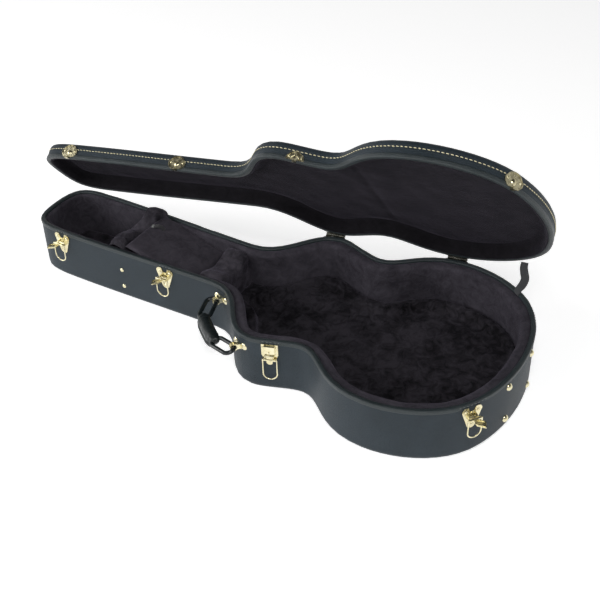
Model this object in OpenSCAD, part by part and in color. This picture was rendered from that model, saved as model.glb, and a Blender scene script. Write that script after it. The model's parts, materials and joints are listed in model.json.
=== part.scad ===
// Hard guitar case with a shaped shell, lying on its back with the lid open.
// Millimetres, +Z up. The origin is on the flat underside, midway along the case on its centre
// line. +X runs to the butt end, the handle and latches are on the -Y side, the hinges on +Y.

/* [Shell] */
// Overall length of the shell
case_l = 1100; // [1090:5:1120]
// Height of the base, from the ground to its rim
base_h = 120; // [116:1:126]
// Height of the lid, from its rim to the outside of its top
lid_h = 36; // [34:1:42]
// Thickness of the plywood walls with their vinyl
wall_t = 7; // [6:0.5:8]
// Thickness of the bottom and top panels
panel_t = 6; // [5:0.5:8]
// Radius of the rounded edge of both panels
edge_r = 10; // [6:1:12]
// Height of the binding on each rim
binding_h = 5; // [4:0.5:7]
// Gap between the two rims when the lid is shut
rim_gap = 0.4; // [0.3:0.1:1]

/* [Outline] */
// Half width at the head end
head_half = 83; // [80:1:86]
// Half width at the end of the neck
neck_half = 75; // [73:1:78]
// Half width at the upper bout
upper_half = 185; // [180:1:188]
// Half width at the waist
waist_half = 158; // [154:1:162]
// Half width at the lower bout
lower_half = 231; // [226:1:236]
// Distance from the head end to the waist
waist_at = 729; // [724:1:734]

/* [Lid] */
// Opening angle of the lid as it stands
lid_open = 54; // [50:1:70]
// Distance of the hinge axis outside the wall
hinge_off = 5; // [4.8:0.1:6]
// Length of each hinge
hinge_l = 40; // [36:1:50]
// Radius of the hinge pins
hinge_pin_r = 1.5; // [1.2:0.1:1.8]

/* [Padding] */
// Thickness of the wall padding along the neck
neck_pad = 10; // [8:1:12]
// Thickness of the wall padding round the body
body_pad = 21; // [16:1:24]
// Thickness of the padded floor
floor_pad = 16; // [10:1:20]
// Thickness of the padding inside the lid
lid_pad = 6; // [4:1:8]
// Slope of the accessory box's lid
box_slope = 15; // [10:1:17]

/* [Latches] */
// Height of the lever axles above the ground
axle_z = 92; // [91:1:93]
// Height of the lever axle of the locking latch
lock_axle_z = 87; // [86:1:88]
// Angle of a raised lever above the horizontal
lever_rise = 15; // [5:1:20]
// Length of a lever from its axle to its tip
lever_l = 44; // [40:1:45]
// Radius of the wire of the bails
bail_r = 1.3; // [1.1:0.1:1.4]
// Radius of the lever axles
axle_r = 1.5; // [1.2:0.1:1.6]
// Radial clearance of a pin that turns in a bore
run_fit = 0.06; // [0.02:0.01:0.1]

/* [Handle] */
// Height of the handle's pivots above the ground
handle_z = 90; // [84:1:95]
// Droop of the handle below the horizontal
handle_droop = 12; // [0:1:20]
// Distance from the pivots to the middle of the grip
handle_reach = 34; // [34:1:44]
// Length of the padded grip
grip_l = 90; // [84:1:96]

/* [Hidden] */
$fn = 48;

vinyl = "#3d474b";
plush = "#232126";
gold = "#d8cf9c";
ply = "#b08a5a";
leather = "#191b1c";

// ---- Plan outline of the shell: cubic curves through stations on the far side ----
// Each station: distance from the head end, half width, heading, pull before, pull after.
stations = [
    [0, 0, 90, 0, 82],
    [122, head_half, 0, 94, 101],
    [473, neck_half, 0, 67, 82],
    [630, upper_half, 0, 74, 28],
    [waist_at, waist_half, 0, 27, 46],
    [895, lower_half, 0, 101, 61],
    [case_l - 34, 142, -59, 69, 37],
    [case_l, 0, -90, 57, 0]
];
curve_steps = 10;

function dir(a) = [cos(a), sin(a)];
function station_point(s) = [s[0], s[1]];
function curve_point(a, b, t) =
    let (p0 = station_point(a), p3 = station_point(b),
         p1 = p0 + a[4] * dir(a[2]), p2 = p3 - b[3] * dir(b[2]), u = 1 - t)
    u*u*u*p0 + 3*u*u*t*p1 + 3*u*t*t*p2 + t*t*t*p3;

// Half outline from the head end to the butt end, as distance and half width
half_outline = [
    for (i = [0:len(stations) - 2], s = [0:curve_steps - 1])
        curve_point(stations[i], stations[i + 1], s / curve_steps),
    station_point(stations[len(stations) - 1])
];
half_n = len(half_outline);
loop_n = 2 * (half_n - 1);

// Whole outline, clockwise from the head end over the far side
loop = [
    for (p = half_outline) p,
    for (i = [half_n - 2:-1:1]) [half_outline[i].x, -half_outline[i].y]
];
function loop_at(i) = loop[(i + loop_n) % loop_n];
function outward(i) =
    let (t = loop_at(i + 1) - loop_at(i - 1)) [-t.y, t.x] / norm(t);

// Padding grows from the neck into the body over this stretch
pad_from = 470;
pad_over = 90;
function ease(t) = let (c = min(1, max(0, t))) c * c * (3 - 2 * c);
function wall_pad(x) = neck_pad + (body_pad - neck_pad) * ease((x - pad_from) / pad_over);

// Outline set in from the shell by d, and by the padding too where pad is 1
function inset(d, pad = 0) = [
    for (i = [0:loop_n - 1])
        loop[i] - (d + pad * wall_pad(loop[i].x)) * outward(i) - [case_l / 2, 0]
];
// The part of an outline between two distances from the head end
function between(pts, x0, x1) =
    [for (p = pts) if (p.x >= x0 - case_l / 2 && p.x <= x1 - case_l / 2) p];

function half_at(x) = lookup(x, half_outline);
function near_heading(x) = -atan2(half_at(x + 2) - half_at(x - 2), 4);

// Local frame on the handle side's wall: +X along the wall to the butt end, -Y outward
module on_near_wall(x, z) {
    translate([x - case_l / 2, -half_at(x), z]) rotate([0, 0, near_heading(x)]) children();
}

// ---- Hinge axis: the straight line that touches both bouts on the far side ----
function touch_point(a, x0, x1) =
    let (pts = [for (p = half_outline) if (p.x >= x0 && p.x <= x1) p],
         out = [for (p = pts) p.y * cos(a) - p.x * sin(a)])
    pts[search(max(out), out)[0]];
first_a = atan2(lower_half - upper_half, 895 - 630);
upper_touch = touch_point(first_a, 480, waist_at);
lower_touch = touch_point(first_a, waist_at, case_l);
hinge_a = atan2(lower_touch.y - upper_touch.y, lower_touch.x - upper_touch.x);

// Local frame on the hinge axis at a touch point: +X along the axis, +Y outward
module on_hinge(p) {
    translate([p.x - case_l / 2, p.y, base_h])
        rotate([0, 0, hinge_a]) translate([0, hinge_off, 0]) children();
}
// Turns a shut lid piece to the open lid's place
module open_lid() {
    on_hinge(upper_touch) rotate([-lid_open, 0, 0])
        translate([0, -hinge_off, 0]) rotate([0, 0, -hinge_a])
            translate([case_l / 2 - upper_touch.x, -upper_touch.y, -base_h]) children();
}

// ---- Solids between rings of points ----
// The rings mirror about their first point, so each cap is made of strips across it
module loft(rings) {
    n = len(rings[0]);
    last = (len(rings) - 1) * n;
    points = [for (r = rings, p = r) p];
    sides = [
        for (k = [0:n:last - n], i = [0:n - 1]) let (j = (i + 1) % n)
            each [[k + i, k + j, k + n + j], [k + i, k + n + j, k + n + i]]
    ];
    caps = [
        for (i = [0:n / 2 - 1]) let (a = i, b = i + 1, c = n - i - 1, d = (n - i) % n)
            each [[a, d, b], [b, d, c], [last + a, last + b, last + d], [last + b, last + c, last + d]]
    ];
    polyhedron(points, [for (f = concat(sides, caps)) if (f[0] != f[1] && f[1] != f[2] && f[2] != f[0]) f]);
}
function at_z(pts, z) = [for (p = pts) [p.x, p.y, z]];

module ring(outer, inner, z0, z1) {
    translate([0, 0, z0]) linear_extrude(z1 - z0) difference() {
        polygon(outer);
        polygon(inner);
    }
}
module slab(pts, z0, z1) {
    translate([0, 0, z0]) linear_extrude(z1 - z0) polygon(pts);
}
// Cylinder along local X, centred
module rod(r, l) {
    rotate([0, 90, 0]) cylinder(r = r, h = l, center = true);
}
// Cylinder along local -Y, from y0 outward
module stud(r, h, y0 = 0) {
    translate([0, -y0, 0]) rotate([90, 0, 0]) cylinder(r = r, h = h);
}
// Domed head of radius r and height h, standing outward
module dome_head(r, h, y0 = 0) {
    sphere_r = (r * r + h * h) / (2 * h);
    translate([0, -y0, 0]) rotate([90, 0, 0]) intersection() {
        translate([0, 0, h - sphere_r]) sphere(r = sphere_r);
        cylinder(r = r + 1, h = h + 1);
    }
}

// ---- Panels: a dished board with a rounded outer edge ----
edge_steps = 4;
lip = 3;
panel_rings = concat(
    [for (k = [0:edge_steps]) let (a = 90 * k / edge_steps)
        at_z(inset(edge_r * (1 - sin(a))), edge_r * (1 - cos(a)))],
    [at_z(inset(wall_t), edge_r), at_z(inset(wall_t + lip), panel_t)]
);

module base_bottom() {
    color(vinyl) loft(panel_rings);
}
module base_wall() {
    color(vinyl) ring(inset(0), inset(wall_t), edge_r, base_h - binding_h);
}
module base_binding() {
    color(vinyl) ring(inset(0), inset(wall_t), base_h - binding_h, base_h);
}

// ---- Lining of the base ----
lining_top = base_h - 4;
// Seams between the lining's panels, as distances from the head end
lining_seams = [45, 100, 290, 473, 550, 640, 729, 820, 970];
// Seams that part an end panel from its corners: from, to and distance from the centre line
corner_seams = [[0, 45, 44], [970, 1100, 120]];
seam_gap = 0.4;
module base_wall_lining() {
    color(plush) difference() {
        ring(inset(wall_t), inset(wall_t, 1), edge_r, lining_top);
        for (x = lining_seams) translate([x - case_l / 2, -300, 0]) cube([seam_gap, 600, base_h]);
        for (c = corner_seams, s = [-1, 1])
            translate([c[0] - case_l / 2, s * c[2] - seam_gap / 2, 0]) cube([c[1] - c[0], seam_gap, base_h]);
    }
}

// Places of the inner partitions, as distances from the head end
neck_board_at = 240;
heel_board_at = 418;
board_t = 6;
rest_l = 32;
heel_l = 54;
floor_gap = 1;
cushion_r = 5;

module cushion(x0, x1) {
    pts = between(inset(wall_t + floor_gap, 1), x0, x1);
    inner = between(inset(wall_t + floor_gap + cushion_r, 1), x0, x1);
    top_z = panel_t + floor_pad;
    union() {
        slab(pts, panel_t, top_z - cushion_r);
        slab(inner, top_z - cushion_r, top_z);
    }
}
module body_floor_pad() {
    color(plush) cushion(heel_board_at + board_t + heel_l + 1, case_l);
}
module head_floor_pad() {
    color(plush) cushion(0, neck_board_at - rest_l - 1);
}
module box_floor_lining() {
    color(plush)
        slab(between(inset(wall_t + floor_gap, 1), neck_board_at + board_t, heel_board_at),
            panel_t, panel_t + 2);
}

// Board across the neck, between the wall linings
module cross_board(x, z_top) {
    half = half_at(x) - wall_t - neck_pad - 0.5;
    translate([x - case_l / 2, -half, panel_t]) cube([board_t, 2 * half, z_top - panel_t]);
}
neck_board_top = 114;
heel_board_top = 74;
module neck_partition() {
    color(ply) cross_board(neck_board_at, neck_board_top);
}
module heel_partition() {
    color(ply) cross_board(heel_board_at, heel_board_top);
}

// Padded saddle across the neck: a level block with a dip between two horns
module saddle(x, l, z0, dip_z, horn_z) {
    half = half_at(x + l) - wall_t - neck_pad - 1;
    horn = 0.78 * half;
    function top_z(y) = let (t = abs(y) / horn)
        t < 1 ? dip_z + (horn_z - dip_z) * ease(t)
              : horn_z - 14 * pow((abs(y) - horn) / (half - horn), 2);
    profile = concat([[-half, z0]], [for (i = [-12:12]) [i * half / 12, top_z(i * half / 12)]],
        [[half, z0]]);
    translate([x - case_l / 2, 0, 0]) rotate([90, 0, 90]) linear_extrude(l) polygon(profile);
}
module neck_rest() {
    color(plush) saddle(neck_board_at - rest_l, rest_l, 60, 128, 141);
}
module heel_rest() {
    color(plush) saddle(heel_board_at + board_t, heel_l, panel_t, 98, 112);
}

// ---- Accessory box lid, hinged at the body end ----
box_pivot_x = heel_board_at - 3 - case_l / 2;
box_pivot_z = heel_board_top + 4;
box_lid_t = 8;
box_lid_l = 172;
box_roll_r = 2.5;
module box_frame() {
    translate([box_pivot_x, 0, box_pivot_z]) rotate([0, box_slope, 0]) children();
}
module box_lid() {
    side = wall_t + neck_pad + 2;
    head_end = half_at(neck_board_at) - side;
    body_end = half_at(heel_board_at) - side;
    color(plush) box_frame() union() {
        linear_extrude(box_lid_t) polygon([
            [-box_lid_l, -head_end], [-box_lid_l, head_end], [-1, body_end], [-1, -body_end]
        ]);
        // Rolled edge that the lid turns on
        rotate([90, 0, 0]) cylinder(r = box_roll_r, h = 2 * body_end, center = true);
    }
}
tab_w = 14;
tab_y = 30;
module box_lid_tab() {
    color("#8f9290") box_frame() translate([-box_lid_l + 6, tab_y - tab_w / 2, box_lid_t])
        cube([34, tab_w, 1.5]);
}
module box_lid_hinge() {
    color(plush) translate([box_pivot_x + 3.5, -40, heel_board_top]) cube([5, 80, 1.5]);
}

// ---- Stay strap: a swept ribbon between the two rims ----
strap_w = 16;
strap_t = 1.6;
// Middle of the strap from the base's rim to the lid's rim
strap_route = [
    [463, 184, 116.1], [463, 184.2, 120], [465, 188, 127], [470, 194, 137],
    [471, 200, 147], [467, 204, 156], [463, 209, 165], [462, 215, 173]
];
// Heading of the strap's width at each point of its route
strap_turn = [-38, -36, -20, 5, 20, 14, -4, -20];
function strap_ring(i) =
    let (a = strap_turn[i],
         along = strap_route[min(i + 1, 7)] - strap_route[max(i - 1, 0)],
         w = [cos(a), sin(a), 0], n = cross(w, along / norm(along)),
         c = strap_route[i], dw = strap_w / 2 * w, dn = strap_t / 2 * n / norm(n))
    [c - dw - dn, c + dw - dn, c + dw + dn, c - dw + dn];
module stay_strap() {
    color(leather) loft([for (i = [0:7]) strap_ring(i)]);
}

// ---- Small fixings ----
neck_rivet_at = 243;
module neck_rivets() {
    color(gold) for (z = [28, 70], side = [0, 1])
        mirror([0, side, 0]) on_near_wall(neck_rivet_at, z) dome_head(4.5, 2.5);
}
foot_r = 7.5;
foot_h = 6;
module end_feet() {
    color(gold) difference() {
        for (y = [-53, 53], z = [22, 99]) end_foot(y, z);
        slab(inset(0), 0, base_h);
    }
}
module end_foot(y, z) {
    end_curve = [for (i = [half_n - 1:-1:half_n - 16]) [half_outline[i].y, half_outline[i].x]];
    x = lookup(abs(y), end_curve);
    slope = atan2(lookup(abs(y) + 3, end_curve) - x, 3);
    translate([x - case_l / 2, y, z]) rotate([0, 0, 90 - sign(y) * slope])
        dome_head(foot_r, foot_h, -0.5);
}

// ---- Hinges ----
knuckle_r = 3.2;
knuckle_gap = 0.4;
leaf_t = 1.5;
leaf_h = 26;
leaf_w = 46;
inner_l = hinge_l * 0.38;
module far_band(p, z0, z1) {
    intersection() {
        ring(inset(-leaf_t), inset(0), z0, z1);
        translate([p.x - case_l / 2, p.y, z0]) rotate([0, 0, hinge_a])
            translate([-leaf_w / 2, -30, -1]) cube([leaf_w, 60, z1 - z0 + 2]);
    }
}
module knuckle(p, x0, x1, side, bore) {
    difference() {
        on_hinge(p) difference() {
            union() {
                translate([(x0 + x1) / 2, 0, 0]) rod(knuckle_r, x1 - x0);
                translate([x0, -hinge_off - 6, side > 0 ? 0.8 : -knuckle_r])
                    cube([x1 - x0, hinge_off + 6, knuckle_r - 0.8]);
            }
            translate([(x0 + x1) / 2, 0, 0]) rod(bore, x1 - x0 + 2);
        }
        slab(inset(-0.05), base_h - 20, base_h + 20);
    }
}
module hinge_base_leaf(p) {
    out = (hinge_l - inner_l) / 2 - knuckle_gap;
    color(gold) union() {
        far_band(p, base_h - leaf_h, base_h - 0.4);
        knuckle(p, -hinge_l / 2, -hinge_l / 2 + out, -1, hinge_pin_r);
        knuckle(p, hinge_l / 2 - out, hinge_l / 2, -1, hinge_pin_r);
    }
}
module hinge_lid_leaf(p) {
    color(gold) open_lid() union() {
        far_band(p, base_h + 0.8, base_h + leaf_h);
        knuckle(p, -inner_l / 2, inner_l / 2, 1, hinge_pin_r + run_fit);
    }
}
module hinge_pin(p) {
    color(gold) on_hinge(p) rod(hinge_pin_r, hinge_l + 1);
}
module hinge_base_leaf_upper() { hinge_base_leaf(upper_touch); }
module hinge_base_leaf_lower() { hinge_base_leaf(lower_touch); }
module hinge_lid_leaf_upper() { hinge_lid_leaf(upper_touch); }
module hinge_lid_leaf_lower() { hinge_lid_leaf(lower_touch); }
module hinge_pin_upper() { hinge_pin(upper_touch); }
module hinge_pin_lower() { hinge_pin(lower_touch); }

// ---- Lid shell ----
lid_rim_z = base_h + rim_gap;
lid_top_z = base_h + lid_h;
module lid_wall() {
    color(vinyl) open_lid()
        ring(inset(0), inset(wall_t), lid_rim_z + binding_h, lid_top_z - edge_r);
}
module lid_binding() {
    color(vinyl) open_lid() ring(inset(0), inset(wall_t), lid_rim_z, lid_rim_z + binding_h);
}
module lid_top() {
    color(vinyl) open_lid() translate([0, 0, lid_top_z]) mirror([0, 0, 1]) loft(panel_rings);
}
module lid_wall_lining() {
    color(plush) open_lid()
        ring(inset(wall_t), inset(wall_t + lid_pad), lid_rim_z + 1, lid_top_z - edge_r);
}
module lid_top_lining() {
    color(plush) open_lid()
        slab(inset(wall_t + lid_pad + 0.5), lid_top_z - panel_t - 4, lid_top_z - panel_t);
}

// ---- Latches: butterfly draw latches, and one with a lock ----
latch_at = [88, 357, 671, 1064];
lock_latch = 2;
function latch_axle_z(i) = i == lock_latch ? lock_axle_z : axle_z;
function latch_rise(i) = i == lock_latch ? -90 : lever_rise;

axle_out = 5;
plate_t = 1.5;
ear_x = 7.4;
ear_t = 1.5;
ear_r = 4.6;
bail_arm = 9;
bail_half = 13.5;
hook_z = base_h + 2.9;
bail_slack = 1.1;
function bail_reach(i) = hook_z + bail_slack + bail_r - (latch_axle_z(i) - bail_arm);

module latch_frame(i) {
    on_near_wall(latch_at[i], latch_axle_z(i)) children();
}
// Flat shape of the local X-Z plane, as a plate of thickness t standing outward from y0
module flat_plate(t, y0 = 0) {
    translate([0, -y0, 0]) rotate([90, 0, 0]) linear_extrude(t) children();
}
module butterfly_shape() {
    difference() {
        union() {
            for (s = [-1, 1]) translate([s * 12, 13]) circle(r = 8);
            translate([0, -19]) circle(r = 9);
            polygon([[-19.5, 10.2], [-12, 20.8], [12, 20.8], [19.5, 10.2], [8.8, -21], [-8.8, -21]]);
        }
        polygon([[-7.5, 21], [-4.5, 13], [0, 10.5], [4.5, 13], [7.5, 21]]);
    }
}
// Ribs beside the notch and a boss under it
module butterfly_relief() {
    for (s = [-1, 1]) polygon([[s * 5.6, 5], [s * 5.6, 13.4], [s * 8.4, 18.6], [s * 7.4, 5]]);
    translate([0, 6]) circle(r = 3.4);
}
module lock_shape() {
    union() {
        translate([-16, 0]) square([32, 25]);
        polygon([[-16, 1], [16, 1], [11, -12], [-11, -12]]);
    }
}
module ears() {
    for (s = [-1, 1]) translate([s * (ear_x + ear_t / 2), -axle_out, 0]) difference() {
        union() {
            rod(ear_r, ear_t);
            translate([-ear_t / 2, 0, -ear_r]) cube([ear_t, axle_out - plate_t + 0.2, 2 * ear_r]);
        }
        rod(axle_r, ear_t + 1);
    }
}
module latch_plate(i) {
    color(gold) latch_frame(i) union() {
        flat_plate(plate_t) {
            if (i == lock_latch) lock_shape();
            else butterfly_shape();
        }
        if (i != lock_latch) flat_plate(0.9, plate_t - 0.1) butterfly_relief();
        ears();
    }
}
module latch_plate_1() { latch_plate(0); }
module latch_plate_2() { latch_plate(1); }
module latch_plate_3() { latch_plate(2); }
module latch_plate_4() { latch_plate(3); }

module latch_axles() {
    color(gold) for (i = [0:3]) latch_frame(i)
        translate([0, -axle_out, 0]) rod(axle_r, 2 * (ear_x + ear_t) + 1.2);
}
module latch_rivets() {
    color(gold) for (i = [0:3]) latch_frame(i) {
        if (i == lock_latch) {
            for (s = [-1, 1]) translate([s * 13.3, 0, 19]) dome_head(1.9, 1.2, plate_t);
        } else {
            for (s = [-1, 1]) translate([s * 12, 0, 12]) dome_head(3.2, 1.8, plate_t);
            translate([0, 0, -21]) dome_head(3.2, 1.6, plate_t);
        }
    }
}

// Lever in its own frame: axle at the origin along X, blade along -Y
hub_r = 3.1;
blade_t = 1.6;
eye_r = 2.6;
eye_half = 11.6;
spoon_at = 27;
tongue_l = 14;
module blade_shape(i) {
    if (i == lock_latch) {
        translate([-6, -tongue_l]) square([12, tongue_l]);
        translate([0, -tongue_l]) circle(r = 6);
    } else {
        polygon([[-5, 0], [-4.6, -14], [-9.6, -spoon_at + 3], [-9, -spoon_at - 3],
            [-1.6, 2 - lever_l], [0, -lever_l], [1.6, 2 - lever_l],
            [9, -spoon_at - 3], [9.6, -spoon_at + 3], [4.6, -14], [5, 0]]);
    }
}
module lever(i) {
    color(gold) latch_frame(i) translate([0, -axle_out, 0]) rotate([-latch_rise(i), 0, 0])
        difference() {
            union() {
                rod(hub_r, 2 * ear_x - 0.8);
                translate([0, 0, -blade_t / 2]) linear_extrude(blade_t) blade_shape(i);
                translate([0, -bail_arm, 0]) rod(eye_r, 2 * eye_half);
                if (i != lock_latch) spoon_rim();
            }
            rod(axle_r + run_fit, 2 * ear_x);
            for (s = [-1, 1]) translate([s * eye_half, -bail_arm, 0]) rod(bail_r + run_fit, 14);
        }
}
// Raised rim round the spade of a lever
module spoon_rim() {
    translate([0, -spoon_at, blade_t / 2 - 0.1]) linear_extrude(1.4) difference() {
        polygon([[0, 13], [-9.4, 2], [-8, -4], [0, -14], [8, -4], [9.4, 2]]);
        polygon([[0, 10.5], [-7.4, 1.6], [-6.4, -3], [0, -11], [6.4, -3], [7.4, 1.6]]);
    }
}
module latch_lever_1() { lever(0); }
module latch_lever_2() { lever(1); }
module latch_lever_3() { lever(2); }
module latch_lever_4() { lever(3); }

// Bail hanging from its pivots, which lie along X at the origin
bail_pin_in = 6;
module bail_wire(reach) {
    leg = reach - bail_half;
    union() {
        for (s = [-1, 1]) {
            translate([s * (bail_half + bail_pin_in) / 2, 0, 0])
                rod(bail_r, bail_half - bail_pin_in);
            translate([s * bail_half, 0, 0]) sphere(r = bail_r);
            translate([s * bail_half, 0, -leg]) cylinder(r = bail_r, h = leg);
        }
        translate([0, 0, -leg]) rotate([90, 0, 0]) rotate([0, 0, 180])
            rotate_extrude(angle = 180) translate([bail_half, 0]) circle(r = bail_r, $fn = 24);
    }
}
module bail(i) {
    a = latch_rise(i);
    color(gold) latch_frame(i)
        translate([0, -axle_out - bail_arm * cos(a), bail_arm * sin(a)]) bail_wire(bail_reach(i));
}
module latch_bail_1() { bail(0); }
module latch_bail_2() { bail(1); }
module latch_bail_3() { bail(2); }
module latch_bail_4() { bail(3); }

// Lock: a square cover over the plate, with a key plug that turns in it
cover_w = 21;
cover_h = 17;
cover_t = 6;
cover_z = 15;
plug_r = 3.4;
plug_z = 12;
module lock_cover() {
    color(gold) latch_frame(lock_latch) difference() {
        translate([-cover_w / 2, -plate_t - cover_t, cover_z - cover_h / 2])
            cube([cover_w, cover_t, cover_h]);
        translate([0, 0, plug_z]) stud(plug_r + run_fit, cover_t + 1, plate_t + 0.5);
    }
}
module lock_plug() {
    color(gold) latch_frame(lock_latch) translate([0, 0, plug_z]) difference() {
        stud(plug_r, cover_t, plate_t + 0.5);
        translate([-0.9, -plate_t - cover_t - 2, -2.2]) cube([1.8, 5, 4.4]);
    }
}

// ---- Catches on the lid's wall ----
catch_t = 1.5;
catch_z = 16;
module catch_shape(domed) {
    if (domed) {
        intersection() {
            translate([0, 3]) circle(r = 17);
            translate([-20, 3]) square([40, 24]);
        }
    } else {
        polygon([[-12, 3], [-19, 10], [-20, 17], [-12, 27], [-4, 31], [4, 31], [12, 27], [20, 17],
            [19, 10], [12, 3]]);
    }
}
module catch_plate(i) {
    domed = i == lock_latch;
    color(gold) open_lid() on_near_wall(latch_at[i], base_h) union() {
        flat_plate(catch_t) catch_shape(domed);
        // Raised bead round the edge
        flat_plate(0.9, catch_t - 0.1) difference() {
            catch_shape(domed);
            translate([0, domed ? 0.5 : 2.4]) scale([0.87, 0.84]) catch_shape(domed);
        }
        // Arch or boss that stiffens the hook
        if (domed) translate([0, -catch_t, 4]) rotate([90, 0, 0])
            rotate_extrude(angle = 180) translate([8, 0]) circle(r = 1.3);
        else translate([0, 0, 13]) dome_head(6, 2.6, catch_t - 0.1);
        // Hook: a nub on a tongue that reaches just below the rim
        translate([-4, -catch_t, hook_z - base_h - 4]) cube([8, catch_t, 6]);
        translate([-4, -8.4, hook_z - base_h - 4]) cube([8, 8.4 - catch_t / 2, 4]);
    }
}
module lid_catch_1() { catch_plate(0); }
module lid_catch_2() { catch_plate(1); }
module lid_catch_3() { catch_plate(2); }
module lid_catch_4() { catch_plate(3); }
module catch_rivets() {
    color(gold) open_lid() for (i = [0:3], s = [-1, 1]) {
        domed = i == lock_latch;
        on_near_wall(latch_at[i], base_h + (domed ? 8 : catch_z))
            translate([s * (domed ? 11.4 : 13.6), 0, 0]) dome_head(domed ? 2 : 2.2, 1.6, catch_t);
    }
}

// ---- Handle: two mounts, two links and a padded grip, swinging on the line of the mounts ----
mount_head_at = 497;
mount_body_at = 606;
mount_out = 12;
function mount_point(x) = let (a = near_heading(x))
    [x - case_l / 2 + mount_out * sin(a), -half_at(x) - mount_out * cos(a)];
handle_p = mount_point(mount_head_at);
handle_q = mount_point(mount_body_at);
handle_span = norm(handle_q - handle_p);
handle_a = atan2(handle_q.y - handle_p.y, handle_q.x - handle_p.x);

// Frame on the middle of the handle's axis: +X along it to the butt end, -Y outward
module handle_axis() {
    translate([(handle_p.x + handle_q.x) / 2, (handle_p.y + handle_q.y) / 2, handle_z])
        rotate([0, 0, handle_a]) children();
}
module handle_pose() {
    handle_axis() rotate([handle_droop, 0, 0]) children();
}

link_r = 4.2;
link_ring_r = 12;
bow_r = 7.6;
bow_l = 8.4;
bow_bore = link_r + link_ring_r - sqrt(pow(link_ring_r, 2) - pow(bow_l / 2, 2)) + 0.7;
lobe_r = 8.6;
lobe_at = 13.5;
lobe_t = 2.6;
// Frame on the wall at one of the lobes beside a mount
module on_lobe(x, side) {
    on_near_wall(x + side * lobe_at * cos(near_heading(x)), handle_z) children();
}
module mount(p, x) {
    translate([p.x, p.y, handle_z]) rotate([0, 0, handle_a]) difference() {
        union() {
            rod(bow_r, bow_l);
            // Ribs round the bow
            for (k = [-1, 0, 1]) translate([k * 3, 0, 0]) rod(bow_r + 0.7, 1.4);
            translate([-bow_l / 2, 0, -5.5]) cube([bow_l, mount_out + 2, 11]);
        }
        rod(bow_bore, bow_l + 2);
    }
    for (s = [-1, 1]) on_lobe(x, s) difference() {
        dome_head(lobe_r, lobe_t + 2, -1.6);
        translate([-lobe_r, -lobe_t - 5, -lobe_r]) cube([2 * lobe_r, 5, 2 * lobe_r]);
    }
    on_near_wall(x, handle_z) translate([-9, -2.2, -5.5]) cube([18, 4.5, 11]);
}
module handle_mounts() {
    color(gold) difference() {
        union() {
            mount(handle_p, mount_head_at);
            mount(handle_q, mount_body_at);
        }
        slab(inset(0), 0, base_h);
    }
}
module handle_rivets() {
    color(gold) for (x = [mount_head_at, mount_body_at], s = [-1, 1])
        on_lobe(x, s) dome_head(2.6, 1.2, lobe_t);
}

// Closed link of round wire, touching the handle's axis inside its mount
link_end = grip_l / 2 - 8;
grip_yaw = 4;
module link(s) {
    from = [s * handle_span / 2, -link_ring_r];
    to = [s * link_end * cos(grip_yaw), s * link_end * sin(grip_yaw) - handle_reach];
    gap = round(10 * (norm(to - from) - link_ring_r)) / 10;
    handle_pose() translate([from.x, from.y, 0])
        rotate([0, 0, atan2(to.y - from.y, to.x - from.x)]) union() {
            for (k = [-1, 1]) translate([0, k * link_ring_r, 0])
                rotate([0, 90, 0]) cylinder(r = link_r, h = gap);
            rotate([0, 0, 90]) link_bend();
            translate([gap, 0, 0]) rotate([0, 0, -90]) link_bend();
        }
}
module link_bend() {
    rotate_extrude(angle = 180) translate([link_ring_r, 0]) circle(r = link_r);
}
module handle_link_head() { color(leather) link(-1); }
module handle_link_body() { color(leather) link(1); }

grip_r = 13;
core_r = 2.5;
core_l = grip_l - 40;
module grip_body(r, l) {
    rotate([0, 90, 0]) rotate_extrude() polygon([
        [0, -l / 2], [r * 0.66, -l / 2], [r * 0.84, -l / 2 + 6], [r, -l / 4], [r, l / 4],
        [r * 0.84, l / 2 - 6], [r * 0.66, l / 2], [0, l / 2]
    ]);
}
// Frame on the middle of the grip: +X along it to the butt end
module grip_pose() {
    handle_pose() translate([0, -handle_reach, 0]) rotate([0, 0, grip_yaw]) children();
}
module handle_grip() {
    color(leather) grip_pose() difference() {
        grip_body(grip_r, grip_l);
        // Eyes for the links
        for (s = [-1, 1]) translate([s * (link_end + 4), 0, 0])
            cube([26, 4 * grip_r, 2 * link_r + 0.8], center = true);
        rod(core_r, core_l);
    }
}
module handle_core() {
    color(gold) grip_pose() rod(core_r, core_l);
}

base_wall();
base_bottom();
base_binding();
base_wall_lining();
body_floor_pad();
head_floor_pad();
box_floor_lining();
neck_partition();
neck_rest();
heel_partition();
heel_rest();
stay_strap();
neck_rivets();
end_feet();
hinge_base_leaf_upper();
hinge_base_leaf_lower();
hinge_pin_upper();
hinge_pin_lower();
latch_plate_1();
latch_plate_2();
latch_plate_3();
latch_plate_4();
latch_axles();
latch_rivets();
lock_cover();
lock_plug();
handle_mounts();
handle_rivets();
lid_wall();
lid_top();
lid_binding();
lid_wall_lining();
lid_top_lining();
hinge_lid_leaf_upper();
hinge_lid_leaf_lower();
lid_catch_1();
lid_catch_2();
lid_catch_3();
lid_catch_4();
catch_rivets();
latch_lever_1();
latch_lever_2();
latch_lever_3();
latch_lever_4();
latch_bail_1();
latch_bail_2();
latch_bail_3();
latch_bail_4();
handle_grip();
handle_core();
handle_link_head();
handle_link_body();
box_lid();
box_lid_tab();
box_lid_hinge();
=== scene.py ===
import bpy
import json
import math
from mathutils import Matrix, Vector, noise
import numpy as np


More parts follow.
